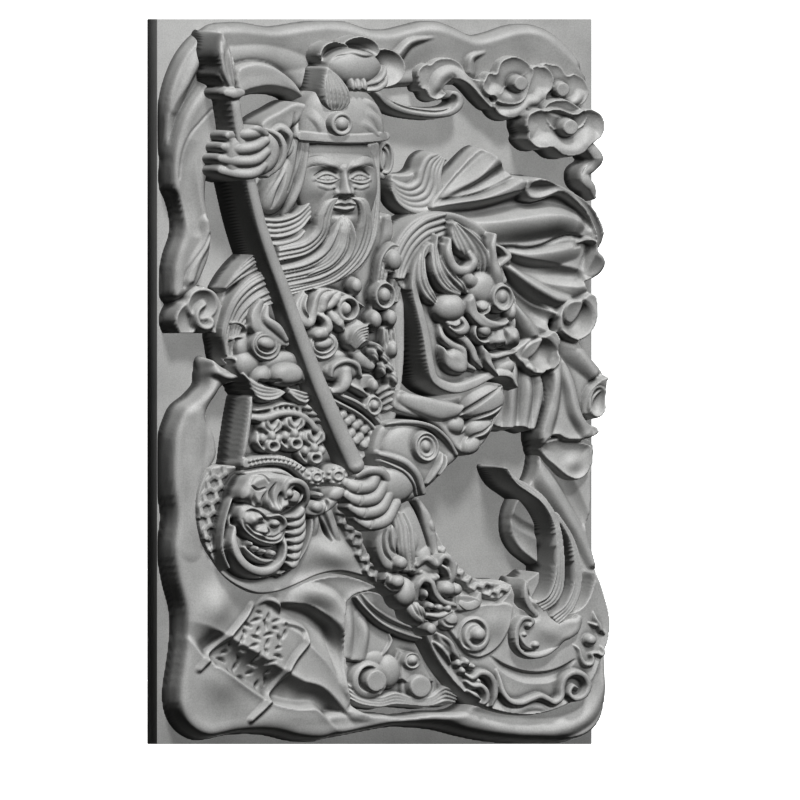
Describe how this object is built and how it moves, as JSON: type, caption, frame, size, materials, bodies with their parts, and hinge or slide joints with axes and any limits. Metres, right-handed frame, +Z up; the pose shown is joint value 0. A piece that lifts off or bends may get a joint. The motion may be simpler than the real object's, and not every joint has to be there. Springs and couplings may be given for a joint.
{
  "type": "warrior relief wall panel",
  "caption": "Carved stone wall panel: a bearded warrior in armour with a long polearm, in high relief among cloth, flames and clouds on a flat rectangular slab.",
  "frame": {"origin": "centre of the slab's flat back face, which lies on the wall", "axes": "+Z up, +X to the right as seen from the front, +Y into the wall; the carving faces -Y"},
  "size_m": [0.4, 0.081, 0.6],
  "materials": {
    "stone": "satin"
  },
  "bodies": {
    "root": {"relief_panel": "stone"}
  },
  "joints": []
}
